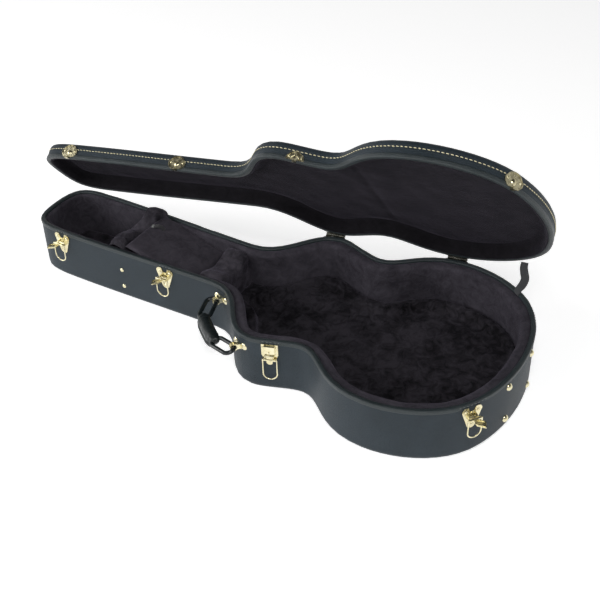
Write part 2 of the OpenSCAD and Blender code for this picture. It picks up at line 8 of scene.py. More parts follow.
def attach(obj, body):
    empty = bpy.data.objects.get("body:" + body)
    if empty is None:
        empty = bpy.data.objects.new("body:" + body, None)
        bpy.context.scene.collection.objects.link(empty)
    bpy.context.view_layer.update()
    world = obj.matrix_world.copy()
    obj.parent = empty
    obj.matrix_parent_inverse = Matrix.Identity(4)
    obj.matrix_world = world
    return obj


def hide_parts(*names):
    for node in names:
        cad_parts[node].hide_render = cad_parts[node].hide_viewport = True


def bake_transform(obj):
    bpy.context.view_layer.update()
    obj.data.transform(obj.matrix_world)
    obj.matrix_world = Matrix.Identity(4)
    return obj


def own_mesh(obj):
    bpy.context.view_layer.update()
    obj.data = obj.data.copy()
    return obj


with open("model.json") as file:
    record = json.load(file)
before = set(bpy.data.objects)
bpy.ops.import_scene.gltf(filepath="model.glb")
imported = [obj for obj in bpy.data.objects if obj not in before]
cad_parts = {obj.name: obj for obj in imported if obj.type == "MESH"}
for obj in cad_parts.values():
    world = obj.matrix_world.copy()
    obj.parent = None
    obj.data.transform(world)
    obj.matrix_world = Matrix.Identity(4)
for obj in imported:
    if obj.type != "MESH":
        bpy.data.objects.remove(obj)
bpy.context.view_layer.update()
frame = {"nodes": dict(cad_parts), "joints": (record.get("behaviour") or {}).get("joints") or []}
NODES = frame["nodes"]
JOINTS = {j["name"]: j for j in frame["joints"]}
MM = 0.001

# ------------------------------------------------------------------ shell outline, as in the CAD
CASE_L, BASE_H, LID_H, WALL = 1100.0, 120.0, 36.0, 7.0
RIM_GAP = 0.4
STATIONS = [
    (0, 0, 90, 0, 82), (122, 83, 0, 94, 101), (473, 75, 0, 67, 82), (630, 185, 0, 74, 28),
    (729, 158, 0, 27, 46), (895, 231, 0, 101, 61), (1066, 142, -59, 69, 37), (1100, 0, -90, 57, 0),
]


def heading(a):
    return np.array([math.cos(math.radians(a)), math.sin(math.radians(a))])


def curve_point(a, b, t):
    p0, p3 = np.array(a[:2], float), np.array(b[:2], float)
    p1, p2, u = p0 + a[4] * heading(a[2]), p3 - b[3] * heading(b[2]), 1 - t
    return u * u * u * p0 + 3 * u * u * t * p1 + 3 * u * t * t * p2 + t * t * t * p3


def half_line(steps):
    pts = [curve_point(STATIONS[i], STATIONS[i + 1], s / steps)
           for i in range(len(STATIONS) - 1) for s in range(steps)]
    return np.array(pts + [np.array([CASE_L, 0.0])])


SPAN_STEPS = 10
HALF = half_line(SPAN_STEPS)              # the CAD's own corner points


def closed(half):
    return np.vstack([half, half[-2:0:-1] * [1, -1]])


def normals(loop):
    t = np.roll(loop, -1, 0) - np.roll(loop, 1, 0)
    t /= np.linalg.norm(t, axis=1)[:, None]
    return np.c_[-t[:, 1], t[:, 0]]


def even_loop(step):
    """The CAD's outline, resampled evenly, with smooth outward normals. x runs from the head end."""
    loop = closed(HALF)
    nrm = normals(loop)
    loop2, nrm2 = np.vstack([loop, loop[:1]]), np.vstack([nrm, nrm[:1]])
    d = np.r_[0, np.cumsum(np.linalg.norm(np.diff(loop2, axis=0), axis=1))]
    n = int(round(d[-1] / step))
    s = np.arange(n) * d[-1] / n
    pts = np.c_[np.interp(s, d, loop2[:, 0]), np.interp(s, d, loop2[:, 1])]
    out = np.c_[np.interp(s, d, nrm2[:, 0]), np.interp(s, d, nrm2[:, 1])]
    out /= np.linalg.norm(out, axis=1)[:, None]
    return pts, out, s


def ease(t):
    c = min(1.0, max(0.0, t))
    return c * c * (3 - 2 * c)


NECK_PAD, BODY_PAD = 10, 22               # thickness of the wall's lining
PAD_FROM, PAD_OVER = 440, 80              # where it thickens, and over what length


def pad_at(x):
    return NECK_PAD + (BODY_PAD - NECK_PAD) * ease((x - PAD_FROM) / PAD_OVER)


def half_at(x):
    return float(np.interp(x, HALF[:, 0], HALF[:, 1]))


def room_at(x, inset):
    """Half the width left at x by an inset that is measured square to the wall, so it follows slopes."""
    slope = abs(half_at(min(x + 3, CASE_L)) - half_at(max(x - 3, 0))) / 6
    return half_at(x) - inset * math.sqrt(1 + slope * slope)


def edge_roll(gap, width):
    """Quarter-round edge: 0 at the border, 1 from width inward."""
    return math.sqrt(max(0.0, 1 - (1 - min(1.0, gap / width)) ** 2))


def across(side, j, rows):
    """Place of grid column j across a piece, closer together near both sides."""
    return side * math.sin((-1 + 2 * j / rows) * math.pi / 2)


# Lid: turned about the hinge from shut to its place at rest
LID_HINGE = JOINTS["lid_hinge"]
HINGE_AT = Vector(LID_HINGE["pos_m"]) / MM
HINGE_AXIS = Vector(LID_HINGE["axis"]).normalized()
LID_OPEN = math.radians(-LID_HINGE["range_deg"][0])
OPEN = (Matrix.Translation(HINGE_AT) @ Matrix.Rotation(LID_OPEN, 4, HINGE_AXIS)
        @ Matrix.Translation(-HINGE_AT))


# ------------------------------------------------------------------ mesh helpers (all lengths in mm)
def make_object(name, verts, faces, material, smooth=True, matrix=None):
    me = bpy.data.meshes.new(name)
    if matrix is not None:
        verts = [matrix @ Vector(v) for v in verts]
    me.from_pydata([Vector(v) * MM for v in verts], [], faces)
    me.update()
    ob = bpy.data.objects.new(name, me)
    bpy.context.scene.collection.objects.link(ob)
    me.materials.append(material)
    for p in me.polygons:
        p.use_smooth = smooth
    return ob


def grid_faces(nu, nv, close_u=False, close_v=False):
    faces = []
    for i in range(nu if close_u else nu - 1):
        for j in range(nv if close_v else nv - 1):
            a, b = i, (i + 1) % nu
            c, d = j, (j + 1) % nv
            faces.append((a * nv + c, a * nv + d, b * nv + d, b * nv + c))
    return faces


def ring_sweep(name, profile, material, step, matrix=None, wobble=None, open_profile=False):
    """Sweeps a profile round the outline.

    profile(x, s) gives [(inset, z), ...], joined end to start unless open_profile is set.
    wobble(point, inward, index, s) gives a shift for each point."""
    pts, out, s = even_loop(step)
    verts = []
    for p, o, si in zip(pts, out, s):
        for k, (d, z) in enumerate(profile(p[0], si)):
            v = Vector((p[0] - d * o[0] - CASE_L / 2, p[1] - d * o[1], z))
            if wobble:
                v += wobble(v, Vector((-o[0], -o[1], 0)), k, si)
            verts.append(v)
    faces = grid_faces(len(pts), len(verts) // len(pts), True, not open_profile)
    return make_object(name, verts, faces, material, matrix=matrix)


def tube_mesh(points, radii, sides):
    """Verts and faces of a round tube along points, with a radius at each."""
    pts = [Vector(p) for p in points]
    n = len(pts)
    verts = []
    up = None
    for i, p in enumerate(pts):
        t = (pts[min(i + 1, n - 1)] - pts[max(i - 1, 0)]).normalized()
        if up is None:
            up = t.orthogonal().normalized()
        up = (up - t * up.dot(t)).normalized()
        side = t.cross(up)
        for k in range(sides):
            q = 2 * math.pi * k / sides
            verts.append(p + (up * math.cos(q) + side * math.sin(q)) * radii[i])
    faces = grid_faces(n, sides, False, True)
    faces.append(tuple(range(sides - 1, -1, -1)))
    faces.append(tuple(range((n - 1) * sides, n * sides)))
    return verts, faces


def join_meshes(parts):
    verts, faces = [], []
    for v, f in parts:
        base = len(verts)
        verts += v
        faces += [tuple(i + base for i in g) for g in f]
    return verts, faces


def subdivide(ob):
    m = ob.modifiers.new("Subsurf", "SUBSURF")
    m.levels = m.render_levels = 1


def soft_noise(v, size, seed=0.0):
    return noise.noise(Vector((v.x / size + seed, v.y / size - seed * 0.7, v.z / size + seed * 1.3)))


# ------------------------------------------------------------------ materials
def new_material(name):
    m = bpy.data.materials.new(name)
    m.use_nodes = True
    nt = m.node_tree
    return m, nt, nt.nodes["Principled BSDF"]


def node(nt, kind, **values):
    n = nt.nodes.new(kind)
    for k, v in values.items():
        if k in n.inputs:
            n.inputs[k].default_value = v
        else:
            setattr(n, k.lower().replace(" ", "_"), v)
    return n


def ramp(nt, fac, stops):
    """Color ramp from [(position, colour or grey), ...]."""
    r = nt.nodes.new("ShaderNodeValToRGB")
    elements = r.color_ramp.elements
    elements.remove(elements[1])
    for i, (pos, col) in enumerate(stops):
        e = elements.new(pos) if i else elements[0]
        e.position = pos
        e.color = (*col, 1) if isinstance(col, tuple) else (col, col, col, 1)
    nt.links.new(fac, r.inputs["Fac"])
    return r


def coords(nt):
    return nt.nodes.new("ShaderNodeTexCoord").outputs["Object"]


def bump(nt, bsdf, height, strength, distance):
    b = node(nt, "ShaderNodeBump", Strength=strength, Distance=distance)
    nt.links.new(height, b.inputs["Height"])
    nt.links.new(b.outputs["Normal"], bsdf.inputs["Normal"])


def mix_math(nt, op, a, b):
    """One math node; a and b are each a socket or a number."""
    m = nt.nodes.new("ShaderNodeMath")
    m.operation = op
    for i, v in enumerate((a, b)):
        if isinstance(v, (int, float)):
            m.inputs[i].default_value = v
        else:
            nt.links.new(v, m.inputs[i])
    return m.outputs[0]


def vinyl_material(name, dark, light, grain=520.0, rough=(0.42, 0.56), depth=0.00040, specular=0.42):
    """Pebbled vinyl: small cells with creases between them, the creases darkened in the colour as painted
    shade, and slow changes of tone.

    grain is the cells' scale and depth the height of the pebbles, in metres."""
    m, nt, bsdf = new_material(name)
    co = coords(nt)
    cells = node(nt, "ShaderNodeTexVoronoi", Scale=grain, Randomness=0.95)
    cells.feature = "DISTANCE_TO_EDGE"
    warp = node(nt, "ShaderNodeTexNoise", Scale=grain * 0.35, Detail=3.0)
    nt.links.new(co, warp.inputs["Vector"])
    bent = nt.nodes.new("ShaderNodeVectorMath")
    bent.operation = "MULTIPLY_ADD"
    bent.inputs[1].default_value = (0.0014,) * 3
    nt.links.new(warp.outputs["Color"], bent.inputs[0])
    nt.links.new(co, bent.inputs[2])
    nt.links.new(bent.outputs[0], cells.inputs["Vector"])
    crease = ramp(nt, cells.outputs["Distance"], [(0.0, 0.0), (0.12, 0.75), (0.5, 1.0)])
    tone = node(nt, "ShaderNodeTexNoise", Scale=9.0, Detail=5.0, Roughness=0.6)
    nt.links.new(co, tone.inputs["Vector"])
    base = ramp(nt, tone.outputs["Fac"], [(0.3, dark), (0.72, light)])
    # Painted shade: the crease mask darkens the base colour between the pebbles
    crease_shade = nt.nodes.new("ShaderNodeMix")
    crease_shade.data_type = "RGBA"
    crease_shade.blend_type = "MULTIPLY"
    crease_shade.inputs["Factor"].default_value = 0.55
    nt.links.new(base.outputs["Color"], crease_shade.inputs[6])
    nt.links.new(crease.outputs["Color"], crease_shade.inputs[7])
    nt.links.new(crease_shade.outputs[2], bsdf.inputs["Base Color"])
    r = ramp(nt, tone.outputs["Fac"], [(0.3, rough[0]), (0.7, rough[1])])
    nt.links.new(r.outputs["Color"], bsdf.inputs["Roughness"])
    bump(nt, bsdf, crease.outputs["Color"], 0.5, depth)
    bsdf.inputs["Specular IOR Level"].default_value = specular
    return m


def plush_material(name, dark, light, sheen=(0.20, 0.18, 0.24), spread=0.06, nap_detail=7.0):
    """Short pile: fine fibre noise, lighter patches painted in as painted sheen for brushed pile that
    catches the light, and sheen at grazing angles.

    spread widens the ramp between the two tones; a negative one makes patches harder."""
    m, nt, bsdf = new_material(name)
    co = coords(nt)
    fibre = node(nt, "ShaderNodeTexNoise", Scale=900.0, Detail=3.0, Roughness=0.75)
    nap = node(nt, "ShaderNodeTexNoise", Scale=46.0, Detail=nap_detail, Roughness=0.72, Distortion=0.9)
    # Painted sheen: lighter patches in the colour stand in for pile that catches the light
    painted_sheen_patch = node(nt, "ShaderNodeTexNoise", Scale=11.0, Detail=4.0, Roughness=0.6, Distortion=0.4)
    for n in (fibre, nap, painted_sheen_patch):
        nt.links.new(co, n.inputs["Vector"])
    tone = mix_math(nt, "MULTIPLY", nap.outputs["Fac"], 0.6)
    for noise_node, share in ((painted_sheen_patch, 0.45), (fibre, 0.22)):
        tone = mix_math(nt, "ADD", tone, mix_math(nt, "MULTIPLY", noise_node.outputs["Fac"], share))
    col = ramp(nt, tone, [(0.51 - spread, dark), (0.74 + spread, light)])
    nt.links.new(col.outputs["Color"], bsdf.inputs["Base Color"])
    bsdf.inputs["Roughness"].default_value = 0.95
    bsdf.inputs["Specular IOR Level"].default_value = 0.12
    bsdf.inputs["Sheen Weight"].default_value = 0.35
    bsdf.inputs["Sheen Roughness"].default_value = 0.4
    bsdf.inputs["Sheen Tint"].default_value = (*sheen, 1)
    height = mix_math(nt, "ADD", mix_math(nt, "MULTIPLY", fibre.outputs["Fac"], 0.35), nap.outputs["Fac"])
    bump(nt, bsdf, height, 0.75, 0.0022)
    return m


def metal_material(name, dark, light, rough=(0.18, 0.34), scale=60.0):
    """Plated metal with faint smears and fine scratches."""
    m, nt, bsdf = new_material(name)
    co = coords(nt)
    smear = node(nt, "ShaderNodeTexNoise", Scale=scale, Detail=4.0, Roughness=0.6)
    scratch = node(nt, "ShaderNodeTexNoise", Scale=900.0, Detail=2.0)
    for n in (smear, scratch):
        nt.links.new(co, n.inputs["Vector"])
    col = ramp(nt, smear.outputs["Fac"], [(0.3, dark), (0.65, light)])
    nt.links.new(col.outputs["Color"], bsdf.inputs["Base Color"])
    r = ramp(nt, smear.outputs["Fac"], [(0.3, rough[0]), (0.7, rough[1])])
    nt.links.new(r.outputs["Color"], bsdf.inputs["Roughness"])
    bsdf.inputs["Metallic"].default_value = 1.0
    bump(nt, bsdf, scratch.outputs["Fac"], 0.12, 0.0001)
    return m


def weave_material(name, dark, light, scale=900.0):
    """Woven tape: two crossed waves."""
    m, nt, bsdf = new_material(name)
    co = coords(nt)
    a = node(nt, "ShaderNodeTexWave", Scale=scale, Distortion=0.4)
    b = node(nt, "ShaderNodeTexWave", Scale=scale, Distortion=0.4)
    a.bands_direction, b.bands_direction = "X", "Z"
    for n in (a, b):
        nt.links.new(co, n.inputs["Vector"])
    both = mix_math(nt, "MAXIMUM", a.outputs["Fac"], b.outputs["Fac"])
    col = ramp(nt, both, [(0.2, dark), (0.9, light)])
    nt.links.new(col.outputs["Color"], bsdf.inputs["Base Color"])
    bsdf.inputs["Roughness"].default_value = 0.8
    bsdf.inputs["Sheen Weight"].default_value = 0.2
    bump(nt, bsdf, both, 0.5, 0.0004)
    return m


VINYL = vinyl_material("shell_vinyl", (0.020, 0.0295, 0.037), (0.040, 0.0540, 0.0665), specular=0.18)
BINDING = vinyl_material("rim_vinyl", (0.018, 0.027, 0.030), (0.032, 0.044, 0.048),
                         grain=800.0, rough=(0.36, 0.48))
BLACK_WIRE = vinyl_material("black_wire", (0.007, 0.011, 0.012), (0.014, 0.019, 0.021),
                            grain=260.0, rough=(0.22, 0.34), depth=0.00005)
LEATHER = vinyl_material("handle_leather", (0.007, 0.011, 0.012), (0.018, 0.025, 0.027),
                         grain=360.0, rough=(0.26, 0.42))

# The same plush in copies painted brighter or darker for how much light each hollow lets in: painted shade
# on the lid and the floor pads, painted light on the box lid
PLUSH = plush_material("plush_lining", (0.0150, 0.0135, 0.0175), (0.0650, 0.0590, 0.0725))
LID_PLUSH_PAINTED_SHADE = plush_material("plush_lid_painted_shade", (0.0032, 0.0029, 0.0037), (0.0115, 0.0103, 0.0128))
FLOOR_PLUSH_PAINTED_SHADE = plush_material("plush_floor_painted_shade", (0.0030, 0.0027, 0.0035), (0.0310, 0.0280, 0.0340),
                             spread=-0.015, nap_detail=3.5)
BOX_PLUSH_PAINTED_LIGHT = plush_material("plush_box_painted_light", (0.0200, 0.0180, 0.0230), (0.0640, 0.0575, 0.0700))
REST_PLUSH = plush_material("plush_rest", (0.0110, 0.0099, 0.0128), (0.0620, 0.0560, 0.0680), spread=0.02)

GOLD = metal_material("pale_brass", (0.62, 0.555, 0.335), (0.86, 0.80, 0.555))
# The lid catches: the same brass painted darker, as painted shade for the dark faces they show
CATCH_BRASS_PAINTED_SHADE = metal_material("catch_brass_painted_shade", (0.34, 0.305, 0.19), (0.74, 0.68, 0.45), scale=140.0)
# Hinges: a dark plated finish, also dark as painted shade for the shade they sit in behind the rims
HINGE = metal_material("dark_hinge", (0.05, 0.05, 0.045), (0.16, 0.155, 0.13))
STEEL = metal_material("plain_steel", (0.45, 0.44, 0.42), (0.70, 0.69, 0.66))

TAPE = weave_material("strap_tape", (0.008, 0.009, 0.010), (0.040, 0.042, 0.046))
TAB = weave_material("tab_tape", (0.006, 0.006, 0.007), (0.022, 0.022, 0.025), scale=700.0)
TAB_TIP = weave_material("tab_tip", (0.10, 0.11, 0.11), (0.30, 0.31, 0.30), scale=700.0)
THREAD = weave_material("thread", (0.50, 0.44, 0.24), (0.86, 0.78, 0.50), scale=1600.0)
DARK_THREAD = weave_material("dark_thread", (0.10, 0.12, 0.12), (0.26, 0.28, 0.27), scale=1600.0)


# ------------------------------------------------------------------ CAD nodes that stay
def mesh_array(items, field, width, kind=np.float32):
    out = np.zeros(len(items) * width, kind)
    items.foreach_get(field, out)
    return out.reshape(-1, width) if width > 1 else out


def smooth_cad(ob, limit):
    """Smooth shading across flat facets up to an angle, by custom normals; no vertex moves."""
    me = ob.data
    points = mesh_array(me.vertices, "co", 3)
    corner_vertex = mesh_array(me.loops, "vertex_index", 1, np.int32)
    normal = mesh_array(me.polygons, "normal", 3)
    area = mesh_array(me.polygons, "area", 1)
    # Polygons keep their corners in order, so this gives each corner its face
    face = np.repeat(np.arange(len(me.polygons)), mesh_array(me.polygons, "loop_total", 1, np.int32))
    # Corners that share a place, to a hundredth of a millimetre, are smoothed together
    places = np.round(points * 1e5).astype(np.int64)
    keys = np.unique(places, axis=0, return_inverse=True)[1].ravel()[corner_vertex]
    order = np.argsort(keys, kind="stable")
    cut = np.flatnonzero(np.diff(keys[order])) + 1
    out = normal[face].copy()
    cosine = math.cos(math.radians(limit))
    for group in np.split(order, cut):
        f = face[group]
        n = normal[f]
        weight = (n @ n.T > cosine) * np.sqrt(area[f])[None, :]
        total = weight @ n
        out[group] = total / np.maximum(np.linalg.norm(total, axis=1), 1e-9)[:, None]
    for p in me.polygons:
        p.use_smooth = True
    me.normals_split_custom_set([Vector(map(float, v)) for v in out])


FLAT_LIMIT, BRASS_LIMIT, CATCH_LIMIT, WIRE_LIMIT = 32.0, 40.0, 30.0, 50.0   # degrees


def dress(name, material, limit=FLAT_LIMIT):
    ob = NODES[name]
    ob.data.materials.clear()
    ob.data.materials.append(material)
    smooth_cad(ob, limit)


BRASS = ("latch_", "lock_", "catch_", "neck_riv", "end_feet", "handle_mounts", "handle_riv")
for n in ("base_wall", "base_bottom", "lid_wall", "lid_top"):
    dress(n, VINYL)
for n in NODES:
    if n.startswith(BRASS):
        dress(n, GOLD, BRASS_LIMIT)
    if n.startswith("lid_catch"):
        dress(n, CATCH_BRASS_PAINTED_SHADE, CATCH_LIMIT)
    if n.startswith("hinge_"):
        dress(n, HINGE, BRASS_LIMIT)
for n in ("neck_partition", "heel_partition", "box_lid_hinge", "box_floor_lining"):
    dress(n, PLUSH)
for n in ("handle_link_head", "handle_link_body"):
    dress(n, BLACK_WIRE, WIRE_LIMIT)
dress("handle_core", STEEL)


# ------------------------------------------------------------------ rims: rolled binding with stitching
BINDING_H, BINDING_W, BULGE = 9.0, 8.6, 1.1
SUNK = 0.3                                # how far a flattened binding sits in the wall
LATCH_AT = (88, 357, 671, 1064)
HOOK_HALF, HOOK_FADE = 9, 12              # half width of a catch's hook, and of the flat's fading out


def rim_profile(z_edge, z_wall, bulge=BULGE):
    """Rolled binding from the wall at z_wall, over the edge at z_edge, to the lining."""
    up = 1 if z_edge > z_wall else -1
    span = abs(z_edge - z_wall)
    pressed = SUNK * (1 - bulge / BULGE)
    pts = [(pressed, z_wall)]
    for k in range(5):
        a = math.pi * k / 8
        pts.append((pressed - bulge * (math.sin(a) + 0.1), z_wall + up * (0.4 + (1 - math.cos(a)) * 2.0)))
    for k in range(7):
        a = math.pi / 2 * k / 6
        pts.append((2.6 - (2.6 + bulge - pressed) * math.cos(a), z_edge - up * 2.4 * (1 - math.sin(a))))
    inner = [(BINDING_W * 0.5, 0.12), (BINDING_W * 0.75, 0.4), (BINDING_W, 1.4),
             (BINDING_W + 0.4, 3.0), (BINDING_W + 0.2, span)]
    return pts + [(d, z_edge - up * drop) for d, drop in inner]


def base_rim_profile(x, s):
    """The binding is pressed flat where a catch's hook passes it."""
    clear = min(abs(x - c) for c in LATCH_AT)
    return rim_profile(BASE_H, BASE_H - BINDING_H, BULGE * ease((clear - HOOK_HALF) / HOOK_FADE))


base_rim = ring_sweep("base_rim_binding", base_rim_profile, BINDING, step=4.0)
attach(base_rim, "base")
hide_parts("base_binding")

prof_lid = rim_profile(BASE_H + RIM_GAP, BASE_H + RIM_GAP + BINDING_H)
lid_rim = ring_sweep("lid_rim_binding", lambda x, s: prof_lid, BINDING, step=5.0, matrix=OPEN)
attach(lid_rim, "lid")
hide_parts("lid_binding")


def stitches(name, z, length, gap, radius, material, body, matrix=None):
    """Slanted dashes of thread round the outside of the shell."""
    pts, out, _ = even_loop(length + gap)
    parts = []
    for p, o in zip(pts, out):
        t = np.array([o[1], -o[0]])
        half = length / 2
        row = []
        for k in range(5):
            u = -1 + k / 2
            lift = 0.35 * (1 - u * u) + 0.02
            q = p + t * half * u + o * (lift + radius * 0.35)
            row.append((q[0] - CASE_L / 2, q[1], z + 0.28 * u))
        parts.append(tube_mesh(row, [radius * f for f in (0.45, 0.9, 1.0, 0.9, 0.45)], 6))
    v, f = join_meshes(parts)
    ob = make_object(name, v, f, material, matrix=matrix)
    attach(ob, body)


stitches("lid_stitching", BASE_H + 21.0, 5.2, 2.6, 0.85, THREAD, "lid", OPEN)
stitches("base_stitching", BASE_H - 3.2, 4.2, 3.4, 0.42, DARK_THREAD, "base")


# A welt round the lid's side, where the stitched cover folds over it
def welt(name, z, r, body, matrix=None):
    prof = [(0.3 - r * math.sin(a), z + r * math.cos(a)) for a in [math.pi * k / 8 for k in range(9)]]
    ob = ring_sweep(name, lambda x, s: prof, VINYL, step=6.0, matrix=matrix, open_profile=True)
    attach(ob, body)


welt("lid_cover_fold", BASE_H + 17.2, 1.0, "lid", OPEN)


# ------------------------------------------------------------------ plush linings
def wrinkles(v, seed, size, amount):
    n = soft_noise(v, size, seed) + 0.5 * soft_noise(v, size * 0.45, seed + 3.1)
    return amount * n


LINING_FOOT = 12.0                        # under the floor pads' tops


def base_lining_profile(x, s):
    """From behind the rim, over a soft roll, down the wall and in under the floor pad."""
    pad = pad_at(x)
    top = BASE_H - 4.0
    d0, d1 = WALL + 0.6, WALL + pad
    r = min(9.0, pad * 0.62)
    pts = [(d0, top - 10), (d0 + 0.2, top - 2.5), (d0 + 1.8, top - 0.6)]
    for k in range(7):
        a = math.pi / 2 * k / 6
        pts.append((d1 - r + r * math.sin(a), top - 0.2 - r * (1 - math.cos(a))))
    for k in range(1, 9):
        z = (top - r) + (LINING_FOOT - (top - r)) * k / 8
        pts.append((d1 + 0.5 * math.sin(math.pi * k / 8), z))
    return pts


def base_lining_wobble(v, inward, k, s):
    if k < 3:                             # held behind the rim
        return Vector((0, 0, 0))
    fade = min(1.0, (k - 2) / 3)
    depth = wrinkles(v, 1.7, 48, 1.5) * fade
    # Gathers where the plush turns the tight corners
    depth += 0.5 * math.sin(s / 7.0) * soft_noise(v, 90, 5.0) * fade
    depth += 0.45 * soft_noise(v, 6.0, 12.0) * fade
    sag = wrinkles(v, 8.3, 30, 0.8) * fade
    return inward * depth + Vector((0, 0, sag if k < 10 else 0))


lining = ring_sweep("base_plush_lining", base_lining_profile, PLUSH, step=7.0,
                    wobble=base_lining_wobble, open_profile=True)
subdivide(lining)
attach(lining, "base")
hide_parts("base_wall_lining")


PAD_TOP, CUSHION_EDGE, CUSHION_PLAY = 24.0, 6.0, 1.5


def cushion(name, x0, x1, node_name, crown, step, rows, seed, height=None):
    """A crowned floor pad between two cross lines, pulled in at its edges, as a grid across the case."""
    nx = max(8, int((x1 - x0) / step))
    verts = []
    for i in range(nx + 1):
        x = x0 + (x1 - x0) * i / nx
        side = max(room_at(x, WALL + pad_at(x) + CUSHION_PLAY), 2.0)
        for j in range(rows + 1):
            y = across(side, j, rows)
            gap = min(side - abs(y), x - x0, x1 - x)
            z = PAD_TOP - CUSHION_EDGE * (1 - edge_roll(gap, CUSHION_EDGE)) + crown * ease(gap / 60)
            p = Vector((x - CASE_L / 2, y, z))
            if height:
                p.z += height(x, y, gap)
            p.z += wrinkles(p, seed, 60, 1.1) * min(1, gap / 12)
            verts.append(p)
    faces = grid_faces(nx + 1, rows + 1)
    ob = make_object(name, verts, faces, FLOOR_PLUSH_PAINTED_SHADE)
    for p in ob.data.polygons:            # face up, so that the thickness goes down
        p.flip()
    thick = ob.modifiers.new("Solidify", "SOLIDIFY")
    thick.thickness, thick.offset = CUSHION_EDGE * MM, -1
    subdivide(ob)
    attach(ob, "base")
    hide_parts(node_name)


BORDER_W, BORDER_H, BORDER_SLOPE = 22.0, 17.0, 7.0


def body_contour(x, y, gap):
    """A raised border round the guitar's own outline, wider and higher towards the heel."""
    border = BORDER_W + 10 * ease((700 - x) / 160)
    lift = (BORDER_H + 6.0 * ease((690 - x) / 170)) * (1 - ease((gap - border) / BORDER_SLOPE))
    return lift * (0.6 + 0.4 * ease(gap / BORDER_SLOPE))


cushion("body_floor_cushion", 479, 1070, "body_floor_pad",
        crown=0.5, step=6.0, rows=64, seed=2.2, height=body_contour)
cushion("head_floor_cushion", 19, 206, "head_floor_pad", crown=2.0, step=7.0, rows=20, seed=4.4)


# ------------------------------------------------------------------ rests across the neck
OVER_LINING, HORN_SHARE = 8.0, 0.78
# Lumps of the pile, large to small: depth, size and seed step along the case, then the same upward
TUFTS = [(1.6, 16, 0, 2.2, 22, 2), (0.9, 7.5, 3, 1.4, 8.5, 4), (0.45, 3.6, 5, 0.8, 4.2, 7)]


def saddle(name, x, length, z0, dip, horn, node_name, roll, seed, far=0.0, skew=0.0, tufts=1.0, drop=15.0):
    """A soft block across the neck with a rounded top, a dip and two horns, pressed over the lining.

    z0 is its foot, dip and horn its heights in the middle and at the horns, roll the rounding of
    its top. far lifts the horn on the hinge side, skew moves it toward the body, and drop lowers
    the outer ends."""
    inner = half_at(x + length) - WALL - NECK_PAD - 1.0
    half = inner + OVER_LINING
    horn_y = HORN_SHARE * inner
    cols, rows = 64, 40
    verts = []
    for i in range(cols + 1):
        u = -1 + 2 * i / cols
        y = half * u
        if abs(y) < horn_y:
            top = dip + (horn - dip) * ease(abs(y) / horn_y)
        else:
            top = horn - drop * ((abs(y) - horn_y) / (half - horn_y)) ** 2
        top += far * ease((u - 0.35) / 0.4)
        for j in range(rows + 1):
            w = j / rows
            # Up the head side, over the top, down the body side
            if w < 0.3:
                px, pz = 0.0, z0 + (top - roll - z0) * w / 0.3
            elif w > 0.7:
                px, pz = length, z0 + (top - roll - z0) * (1 - w) / 0.3
            else:
                a = math.pi * (w - 0.3) / 0.4
                px = length / 2 - length / 2 * math.cos(a)
                pz = top - roll + roll * math.sin(a) ** 0.7
            p = Vector((x + px + skew * ease(u / 0.9) - CASE_L / 2, y, pz))
            # The head side stays flat against its board
            free = ease(w / 0.5)
            for deep, size, shift, high, size_z, shift_z in TUFTS:
                p += Vector((deep * soft_noise(p, size, seed + shift) * free, 0,
                             high * soft_noise(p, size_z, seed + shift_z))) * tufts
            verts.append(p)
    ob = make_object(name, verts, grid_faces(cols + 1, rows + 1), REST_PLUSH)
    subdivide(ob)
    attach(ob, "base")
    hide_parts(node_name)
    return ob


neck_roll = saddle("neck_rest_roll", 207, 38, 30, 122, 132, "neck_rest", 15, 1.1,
                   far=16.0, skew=14.0, drop=10.0)
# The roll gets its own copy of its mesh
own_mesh(neck_roll)
saddle("heel_rest_block", 424.8, 55, 7, 99, 113, "heel_rest", 10, 6.3, tufts=1.3)


# ------------------------------------------------------------------ accessory box lid
BOX = JOINTS["box_lid_hinge"]
BOX_SLOPE, BOX_L, BOX_T = math.radians(15), 172.0, 8.0
BOX_EDGE, BOX_PLAY = 9.0, 2.5             # rolled edge, and how far it presses into the lining
BOX_X = (240, 418)                        # the lid's ends along the case
TAB_AT = (-158, 20)
BOX_FRAME = Matrix.Translation(Vector(BOX["pos_m"]) / MM) @ Matrix.Rotation(BOX_SLOPE, 4, "Y")


def box_lid_piece():
    wa, wb = [half_at(x) - (WALL + NECK_PAD - BOX_PLAY) for x in BOX_X]
    cols, rows = 60, 40
    top, under = [], []
    for i in range(cols + 1):
        u = i / cols
        x = -BOX_L + (BOX_L - 1) * u
        w = wa + (wb - wa) * u
        for j in range(rows + 1):
            y = across(w, j, rows)
            gap = min(w - abs(y), x + BOX_L, -1 - x)
            roll = edge_roll(gap, BOX_EDGE)
            p = Vector((x, y, BOX_T - 6.4 * (1 - roll) + 1.6 * ease(gap / 40)))
            p.z += wrinkles(p, 9.0, 45, 1.0) * min(1, gap / 10) + 0.3 * soft_noise(p, 4.0, 2.0)
            # A soft hollow round the pull tab
            p.z -= 2.2 * math.exp(-((x - TAB_AT[0]) / 14) ** 2 - ((y - TAB_AT[1]) / 13) ** 2)
            top.append(p)
            under.append(Vector((x, y, 1.2 * (1 - roll))))
    # The underside is the same grid turned over, and a strip round the border joins the two
    n = (cols + 1) * (rows + 1)
    faces = grid_faces(cols + 1, rows + 1)
    faces += [tuple(n + k for k in reversed(f)) for f in faces]
    edge = [i * (rows + 1) for i in range(cols + 1)]
    edge += [cols * (rows + 1) + j for j in range(1, rows + 1)]
    edge += [i * (rows + 1) + rows for i in range(cols - 1, -1, -1)]
    edge += list(range(rows - 1, 0, -1))
    for a, b in zip(edge, edge[1:] + edge[:1]):
        faces.append((b, a, n + a, n + b))
    ob = make_object("box_lid_cover", top + under, faces, BOX_PLUSH_PAINTED_LIGHT, matrix=BOX_FRAME)
    subdivide(ob)
    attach(ob, "box")
    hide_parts("box_lid")


box_lid_piece()


BAND_SIDES = 10


